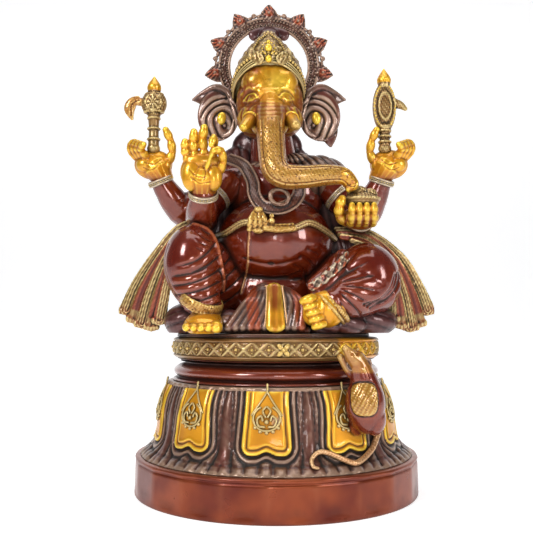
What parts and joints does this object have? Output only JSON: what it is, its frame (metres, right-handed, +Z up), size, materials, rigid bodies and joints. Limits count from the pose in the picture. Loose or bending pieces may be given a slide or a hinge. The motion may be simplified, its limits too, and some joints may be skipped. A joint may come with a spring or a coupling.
{
  "type": "seated ganesha idol",
  "caption": "Seated four-armed elephant-headed deity with halo, on a round lotus pedestal with a climbing mouse: cast brass pieces pegged and tied together to stand on a shelf or altar.",
  "frame": {"origin": "middle of the pedestal's foot, on the surface it stands on", "axes": "+Z up; the idol faces -Y; +X is towards the hand with the sweets"},
  "size_m": [0.4595, 0.41, 0.7591],
  "materials": {
    "red_lacquer": "glossy red-brown lacquer on brass",
    "brown_patina": "satin brown patina rubbed back on the high edges",
    "gold_lacquer": "glossy gold lacquer on brass",
    "antique_brass": "antique brass with dark recesses",
    "steel": "plain zinc-grey steel"
  },
  "bodies": {
    "root": {"axe": "antique_brass", "base_plate": "brown_patina", "cross_bar": "steel", "crown": "antique_brass", "front_pleats": "brown_patina", "garland": "brown_patina", "halo": "brown_patina", "head": "gold_lacquer", "left_drape": "antique_brass", "left_ear": "brown_patina", "left_foot": "gold_lacquer", "left_leg": "red_lacquer", "left_tusk": "gold_lacquer", "lotus_skirt": "brown_patina", "lower_left_arm": "red_lacquer", "lower_left_hand": "gold_lacquer", "lower_nut": "steel", "lower_right_arm": "red_lacquer", "lower_right_hand": "gold_lacquer", "mouse": "red_lacquer", "mouse_tail": "antique_brass", "noose": "antique_brass", "plinth": "red_lacquer", "plinth_screw_1": "steel", "plinth_screw_2": "steel", "plinth_screw_3": "steel", "plinth_screw_4": "steel", "right_drape": "antique_brass", "right_ear": "brown_patina", "right_foot": "gold_lacquer", "right_leg": "red_lacquer", "right_tusk": "gold_lacquer", "seat_drum": "antique_brass", "serpent_belt": "antique_brass", "shoulder_shawl": "brown_patina", "sweet_bowl": "antique_brass", "tie_rod": "steel", "torso": "red_lacquer", "trunk": "antique_brass", "upper_left_arm": "red_lacquer", "upper_left_hand": "gold_lacquer", "upper_nut": "steel", "upper_right_arm": "red_lacquer", "upper_right_hand": "gold_lacquer", "waist_ring": "red_lacquer", "washer": "steel"}
  },
  "joints": []
}
